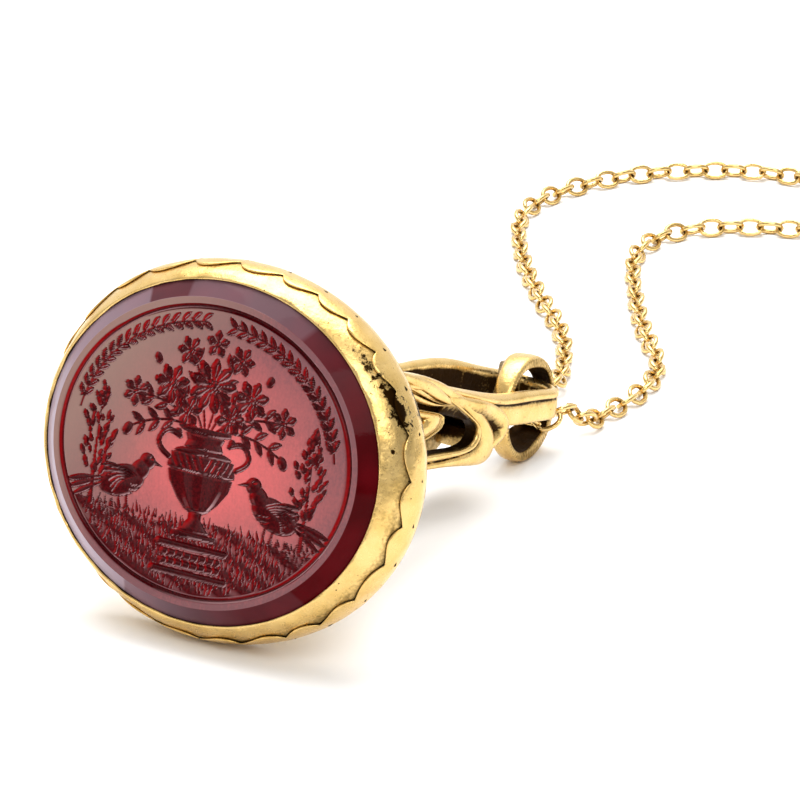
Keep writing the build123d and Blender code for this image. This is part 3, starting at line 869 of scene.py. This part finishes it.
# The outer loop's border is a ridge and a milled seam. Its section: millimetres from the inner
# edge, share of the width beside the border, out from the middle plane, and patina
BORDER, SEAM_MIDDLE, SEAM_HALF = 0.64, 0.56, 0.07
LOOP_SECTION = [
    (0, 0, -0.5, 1), (0, 0, 0.28, 0.9), (0.02, 0, 0.45, 0.1), (0.1, 0, 0.56, 0),
    (0.24, 0, 0.6, 0), (0.38, 0, 0.57, 0), (0.47, 0, 0.47, 0), (0.5, 0, 0.3, 0.9),
    (0.55, 0, 0.25, 1), (0.62, 0, 0.32, 0.9), (BORDER, 0.06, 0.46, 0.06), (BORDER, 0.35, 0.52, 0),
    (BORDER, 0.65, 0.49, 0), (BORDER, 0.85, 0.4, 0), (BORDER, 0.96, 0.24, 0.05),
    (BORDER, 1, 0, 0.1), (BORDER, 1, -0.5, 0.3),
]
# A band's rows: share of the handle's length and of the loop's height, at the outer edge and at
# the inner one. None is where the band leaves the dome
LOOP_ROWS = [
    (None, -0.8, None, -0.44), (0.36, -0.909, 0.36, -0.53), (0.539, -0.902, 0.539, -0.516),
    (0.65, -0.924, 0.63, -0.51), (0.735, -0.985, 0.685, -0.48), (0.779, -0.909, 0.713, -0.33),
    (0.799, -0.655, 0.72, -0.13), (0.793, -0.291, 0.713, 0.04), (0.773, 0, 0.695, 0.18),
    (0.743, 0.287, 0.668, 0.35), (0.699, 0.6, 0.633, 0.56), (0.644, 0.89, 0.584, 0.83),
    (0.589, 1.16, 0.54, 1), (0.51, 1.429, 0.49, 1.11), (0.408, 1.542, 0.4, 1.18),
    (0.303, 1.465, 0.303, 1.11), (None, 1.127, None, 0.78),
]
SCROLL_ROWS = [
    (None, 0.75, None, 0.5), (0.36, 0.86, 0.36, 0.62), (0.44, 0.79, 0.44, 0.56),
    (0.495, 0.65, 0.49, 0.47), (0.539, 0.55, 0.518, 0.41), (0.579, 0.46, 0.535, 0.38),
    (0.603, 0.333, 0.54, 0.34), (0.604, 0.189, 0.53, 0.26), (0.588, 0.02, 0.505, 0.17),
    (0.557, -0.12, 0.475, 0.1), (0.51, -0.24, 0.44, 0.03), (0.4, -0.36, 0.39, -0.03),
    (None, -0.36, None, -0.1),
]
LEAF_ROWS = [
    (None, 1.25, None, 0.75), (0.3, 1.6, 0.3, 1.04), (0.428, 1.607, 0.43, 1.04),
    (0.464, 1.502, 0.464, 0.955), (0.5, 1.396, 0.494, 0.83), (0.538, 1.241, 0.523, 0.729),
    (0.57, 1.043, 0.552, 0.665), (0.598, 0.822, 0.584, 0.64), (0.608, 0.69, 0.6, 0.63),
]
# Sections of the narrow straps: across as a share of the width, out as a share of the thickness,
# and patina. The leaf's across is given at the start and at the end
SCROLL_SECTION = [
    (0.5, -0.5, 0.7), (0.5, 0.2, 0.4), (0.48, 0.4, 0), (0.42, 0.46, 0), (0.39, 0.38, 0.2),
    (0.37, 0.24, 1), (0.34, 0.26, 1), (0.31, 0.44, 0), (0.05, 0.55, 0), (-0.2, 0.56, 0),
    (-0.4, 0.46, 0), (-0.49, 0.28, 0.1), (-0.5, 0.05, 0.5), (-0.5, -0.5, 0.9),
]
LEAF_SECTION = [
    (0.5, 0.5, -0.5, 0.4), (0.5, 0.5, 0.3, 0.1), (0.46, 0.46, 0.46, 0), (0.38, 0.25, 0.53, 0),
    (0.31, -0.06, 0.5, 0), (0.29, -0.16, 0.3, 0.8), (0.26, -0.2, 0.02, 1), (0.15, -0.24, 0.05, 1),
    (0.12, -0.25, 0.42, 0.2), (0.07, -0.27, 0.52, 0), (-0.01, -0.28, 0.48, 0),
    (-0.03, -0.29, 0.3, 0.8), (-0.06, -0.3, 0, 1), (-0.15, -0.32, 0.05, 1),
    (-0.18, -0.34, 0.4, 0.2), (-0.28, -0.38, 0.52, 0), (-0.42, -0.44, 0.47, 0),
    (-0.5, -0.5, 0.3, 0.3), (-0.5, -0.5, -0.5, 0.9),
]
# The wrap round the loop's neck: its section as shares of the band and of the breadth, and patina,
# then its line as shares of the handle's length and of the loop's height
WRAP_BAND, WRAP_BREADTH = 0.85, 5.2
WRAP_SECTION = [
    (0.34, -0.5, 0), (0.5, -0.44, 0), (0.54, -0.15, 0), (0.54, 0.15, 0), (0.5, 0.44, 0),
    (0.34, 0.52, 0), (0.12, 0.535, 0), (-0.15, 0.53, 0.1), (-0.45, 0.51, 0.3),
    (-0.75, 0.475, 0.75), (-1.1, 0.44, 1), (-1.3, 0.4, 1), (-1.3, 0, 0.95), (-1.3, -0.4, 0.9),
    (-0.38, -0.47, 0.8), (0.12, -0.5, 0.3),
]
WRAP = [
    (0.6, 0.81), (0.66, 0.66), (0.711, 0.53), (0.757, 0.41), (0.787, 0.27), (0.808, 0.1),
    (0.8195, -0.1), (0.815, -0.29), (0.797, -0.45), (0.77, -0.6),
]


def strap(name, along, up, beside, patina_and_shade):
    """A closed strap from its grid of points: rows along it, columns round its section."""
    luck = np.random.default_rng(len(name) * 7 + len(along))
    along, up, beside, patina_and_shade = np.broadcast_arrays(along, up, beside, patina_and_shade)
    rows, columns = along.shape
    faces = net(rows, columns) + caps(rows, columns)
    stained = patina_and_shade * luck.uniform(0.75, 1.15, (rows, 1)) + luck.normal(0, 0.03, (rows, columns))
    points = RIM + along[..., None] * ALONG + up[..., None] * OVER + beside[..., None] * ACROSS
    marks = {"hollow": np.clip(stained, 0, 1)}
    piece(name, points.reshape(-1, 3), faces, GOLD, marks)


def leftward(line):
    """The unit way across a flat line at each of its points, to its left."""
    run = unit(np.gradient(line, axis=0))
    return np.stack([-run[:, 1], run[:, 0]], 1)


def between_edges(rows, count):
    """Points along a band's outer and inner edges, and the width between them."""
    share = np.array([[(ROOT if value is None else value) for value in row] for row in rows])
    line = smooth_line(share * (HANDLE_LENGTH, LOOP_HIGH, HANDLE_LENGTH, LOOP_HIGH), count)
    outer, inner = line[:, None, :2], line[:, None, 2:]
    return outer, inner, np.linalg.norm(outer - inner, axis=2)


def outer_loop(name, hand, count=150):
    """The broad outer band, whose seam is filled towards its end."""
    outer, inner, width = between_edges(LOOP_ROWS, count)
    inset, share, out, patina_and_shade = np.array(LOOP_SECTION).T[:, None, :]
    seam = (np.abs(inset - SEAM_MIDDLE) < SEAM_HALF) & (patina_and_shade > 0.5)
    beads = np.linspace(0, 260, count) + 1.5 * wander(np.linspace(0, 6.28, count), 30, 61)
    beads = 0.5 + 0.5 * np.sin(beads)
    upper = np.clip((np.linspace(0, 1, count) - 0.58) / 0.1, 0, 1) * 0.75
    fill = np.maximum(upper, 0.45 * beads)[:, None] * seam
    from_inner = inset + share * (width - BORDER)
    along, up = np.moveaxis(inner + (outer - inner) * (from_inner / width)[:, :, None], 2, 0)
    strap(name, along, up, hand * (SPREAD + out + 0.2 * fill), patina_and_shade * (1 - 0.8 * fill))


def side_strap(name, rows, section, thickness, hand, count):
    """A narrower band, whose section changes on its way from the start's to the end's."""
    outer, inner, _ = between_edges(rows, count)
    first, last, out, patina_and_shade = np.array(section).T[:, None, :]
    on = np.clip((np.linspace(0, 1, count) - 0.45) / 0.5, 0, 1)[:, None]
    across = first * (1 - on) + last * on
    along, up = np.moveaxis((outer + inner) / 2 + (outer - inner) * across[:, :, None], 2, 0)
    strap(name, along, up, hand * (SPREAD + thickness * out), patina_and_shade)


def wrap(count=44):
    """The band that binds the loop's two sides together."""
    line = smooth_line(np.array(WRAP) * (HANDLE_LENGTH, LOOP_HIGH), count)
    across, breadth, patina_and_shade = np.array(WRAP_SECTION).T[:, None, :]
    aside = leftward(line)[:, None] * (WRAP_BAND * across)[..., None]
    along, up = np.moveaxis(line[:, None] + aside, 2, 0)
    swollen = 0.86 + 0.14 * np.sqrt(np.sin(np.linspace(0, math.pi, count)).clip(0))[:, None]
    grooved = swollen * (1 + 0.02 * np.sin(np.linspace(0, 20, count))[:, None])
    strap("wrap", along, up, WRAP_BREADTH * breadth * grooved, patina_and_shade)


steady = [(row[0], *row) for row in SCROLL_SECTION]
for side, hand in (("near", 1), ("far", -1)):
    outer_loop("outer_loop_" + side, hand)
    side_strap("scroll_" + side, SCROLL_ROWS, steady, 0.8, hand, 80)
    side_strap("leaf_" + side, LEAF_ROWS, LEAF_SECTION, 1.3, hand, 48)
wrap()


# The stirrup's rows along the handle: share of its length, heights of the near and the far leg as
# shares of the loop's height, and depth of the band as a share of its full depth
STIRRUP_ROWS = [
    (ROOT, 1.58, 1.3, 0.54), (0.26, 1.68, 1.32, 0.54), (0.44, 1.52, 1.22, 0.54),
    (0.58, 1.12, 1.14, 0.6), (0.7, 0.82, 1.15, 0.72), (0.82, 0.58, 1.1, 0.92),
    (0.93, 0.56, 0.88, 1), (1.05, 0.5, 0.66, 0.92), (1.15, 0.45, 0.54, 0.9),
]
# Its section: across as a share of the band's thickness, down as a share of its depth, and patina
STIRRUP_SECTION = [
    (0.34, 0.01, 0), (0.16, 0.05, 0), (-0.08, 0.06, 0), (-0.3, 0.03, 0), (-0.44, -0.05, 0),
    (-0.5, -0.15, 0.25), (-0.47, -0.26, 0.9), (-0.46, -0.8, 0.95), (-0.42, -0.97, 0.7),
    (0.3, -1, 0.3), (0.44, -0.96, 0.05), (0.5, -0.85, 0), (0.51, -0.52, 0), (0.48, -0.33, 0.1),
    (0.36, -0.275, 1), (0.37, -0.235, 1), (0.49, -0.19, 0.1), (0.53, -0.13, 0), (0.5, -0.06, 0),
    (0.43, -0.01, 0),
]
STIRRUP_THICK, STIRRUP_DEEP, STIRRUP_ASIDE = 0.8, 2.0, 0.33
RING_INNER, BEND_GAP = 3.13, 0.5


def stirrup():
    """Two legs and the bend that the bail hangs on, a band that stands upright."""
    scale = (HANDLE_LENGTH, LOOP_HIGH, LOOP_HIGH, STIRRUP_DEEP)
    fine = smooth_line(np.array(STIRRUP_ROWS) * scale, 200)
    bend_end = HANDLE_LENGTH + RING_INNER - BEND_GAP - STIRRUP_THICK / 2
    bend_start = bend_end - SPREAD
    halfway = (ROOT_DEPTH + bend_start) / 2
    knots = [(ROOT_DEPTH, SPREAD * 1.25), (halfway, SPREAD * 1.15), (bend_start, SPREAD)]
    leg = smooth_line(knots, 60)
    angles = np.linspace(0, math.pi, 41)
    arc = np.stack([bend_start + SPREAD * np.sin(angles), SPREAD * np.cos(angles)], 1)
    plan = np.concatenate([leg[:-1], arc, (leg * (1, -1))[::-1][1:]])
    chip = wander(np.linspace(0, 6.28, len(plan)), 50, 62)
    band = []
    for k, ((far_on, aside), way) in enumerate(zip(plan, leftward(plan))):
        near, far, depth = (np.interp(far_on, fine[:, 0], fine[:, column]) for column in (1, 2, 3))
        # the seam under the top ridge dies out over the tip of the bend, where the wear is deepest
        worn = hump(k, len(plan) / 2, 11)
        seam = 1 - 0.9 * worn
        for across, down, patina_and_shade in STIRRUP_SECTION:
            if patina_and_shade == 1.0:
                across, patina_and_shade = 0.50 - (0.50 - across) * seam, seam * (0.9 + 0.2 * chip[k])
                down = down * (1 - 0.4 * worn)
            beside = aside - STIRRUP_ASIDE + across * STIRRUP_THICK * way[1]
            up = (near + far) / 2 + (near - far) / 2 * beside / SPREAD + down * depth
            band.append((far_on + across * STIRRUP_THICK * way[0], up, beside, patina_and_shade))
    band = np.array(band).reshape(len(plan), len(STIRRUP_SECTION), 4)
    strap("stirrup", *np.moveaxis(band, 2, 0))


stirrup()


# Bail ring
# The ring's section: along its axis, out from it, how far the milling goes, and darkening: patina
# at the edges and painted shade on the inner wall
BAIL_ROWS = [
    (-0.3, 3.635, 0, 0), (0, 3.665, 0, 0), (0.3, 3.635, 0, 0), (0.5, 3.59, 0, 0),
    (0.6, 3.53, 0.3, 0.05), (0.69, 3.45, 0.8, 0.2), (0.71, 3.35, 1, 0.25), (0.7, 3.24, 0.8, 0.3),
    (0.64, 3.16, 0.3, 0.45), (0.5, 3.16, 0, 0.85), (0.3, 3.23, 0, 1), (0, 3.26, 0, 1),
    (-0.3, 3.23, 0, 1), (-0.5, 3.16, 0, 0.9), (-0.64, 3.16, 0.3, 0.6), (-0.7, 3.24, 0.8, 0.45),
    (-0.71, 3.35, 1, 0.4), (-0.69, 3.45, 0.8, 0.3), (-0.6, 3.53, 0.3, 0.05), (-0.5, 3.59, 0, 0),
]
BAIL_LEAN = math.radians(3.0)


def bail():
    """The wide ring, thicker above and below, whose wall goes deeper at its left."""
    turns = circle(360)
    axis = np.array([math.cos(BAIL_LEAN), math.sin(BAIL_LEAN), 0])
    forth = np.array([-math.sin(BAIL_LEAN), math.cos(BAIL_LEAN), 0])
    cord = 0.5 + 0.5 * np.sin(turns * 84 + 1.2 * wander(turns, 12, 40))
    away = (turns + math.pi) % (2 * math.pi) - math.pi
    thick = 0.5 * hump(away, -1.3, 0.7) + 0.3 * hump(away, 1.3, 0.5)
    swell = 0.12 * hump(away, -0.7, 0.4)
    deeper = 0.5 * hump(away, 1.35, 0.7) + 0.55 * hump(away, -1.15, 0.6)
    worn = 0.01 + 0.007 * np.abs(wander(turns, 14, 41))
    grid, hollow = [], []
    for x, radius, milled, patina_and_shade in BAIL_ROWS:
        reach = radius - worn + swell - (thick if radius < 3.4 else 0)
        dip = milled * 0.035 * cord
        far = (2.2 if radius < 3.3 else 1) if x < -0.2 else 0
        beside = x - math.copysign(1, x) * dip - deeper * far
        grid.append(
            RING + beside[:, None] * axis + (reach * np.cos(turns))[:, None] * forth
            + (reach * np.sin(turns))[:, None] * np.array([0, 0, 1])
        )
        # painted shade on the inner wall, with patina at the edges and in the milling
        hollow.append(np.clip(patina_and_shade + milled * 0.25 * cord, 0, 1))
    faces = net(len(BAIL_ROWS), len(turns), round_rows=True)
    marks = {"hollow": np.concatenate(hollow)}
    piece("bail", np.concatenate(grid), faces, GOLD, marks, stands_for=["bail_ring"])


bail()

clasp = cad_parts["clasp"]
clasp.data.materials.clear()
clasp.data.materials.append(GOLD)


# Floor, light
def floor():
    mesh = bpy.data.meshes.new("floor")
    work = bmesh.new()
    bmesh.ops.create_grid(work, x_segments=24, y_segments=24, size=1.6)
    work.to_mesh(mesh)
    work.free()
    look = Look("paper", Roughness=0.85)
    look.shader.inputs["Specular IOR Level"].default_value = 0.1
    look.join(look.mix(look.noise(3.0, 2), grey(0.90), grey(0.93)), "Base Color")
    mesh.materials.append(look.material)
    made = put("floor", mesh)


def lamp(name, place, target, size, power, tall=None):
    """An area light, square unless it's given another height."""
    data = bpy.data.lights.new(name, "AREA")
    data.energy = power
    data.size = size
    if tall:
        data.shape = "RECTANGLE"
        data.size_y = tall
    made = put(name, data)
    made.location = place
    aim(made, target)


def studio():
    """A pale room that brightens towards the upper left and behind."""
    world = bpy.data.worlds.new("studio")
    world.use_nodes = True
    scene.world = world
    tree = world.node_tree
    spot = tree.nodes.new("ShaderNodeTexCoord")
    facing = tree.nodes.new("ShaderNodeVectorMath")
    facing.operation = "DOT_PRODUCT"
    facing.inputs[1].default_value = (-0.45, 0.65, 0.61)
    ramp = tree.nodes.new("ShaderNodeValToRGB")
    back = tree.nodes["Background"]
    tree.links.new(spot.outputs["Generated"], facing.inputs[0])
    tree.links.new(facing.outputs["Value"], ramp.inputs[0])
    tree.links.new(ramp.outputs[0], back.inputs["Color"])
    back.inputs["Strength"].default_value = 1.0
    for k, (at, level) in enumerate(((0.0, 0.48), (0.35, 0.68), (0.7, 1.1), (1.0, 1.3))):
        stop = ramp.color_ramp.elements[k] if k < 2 else ramp.color_ramp.elements.new(at)
        stop.position = at
        stop.color = (*grey(level), 1)


floor()
studio()
lamp("key", (-0.14, 0.16, 0.60), (0, 0, 0), 0.55, 4.4)
lamp("left_card", (-0.45, -0.62, 0.09), (0, -0.03, 0.01), 0.35, 0.25, 0.25)
lamp("front", (0.32, -0.36, 0.48), (0, 0, 0), 0.36, 1.5)
scene.view_settings.view_transform = "Standard"
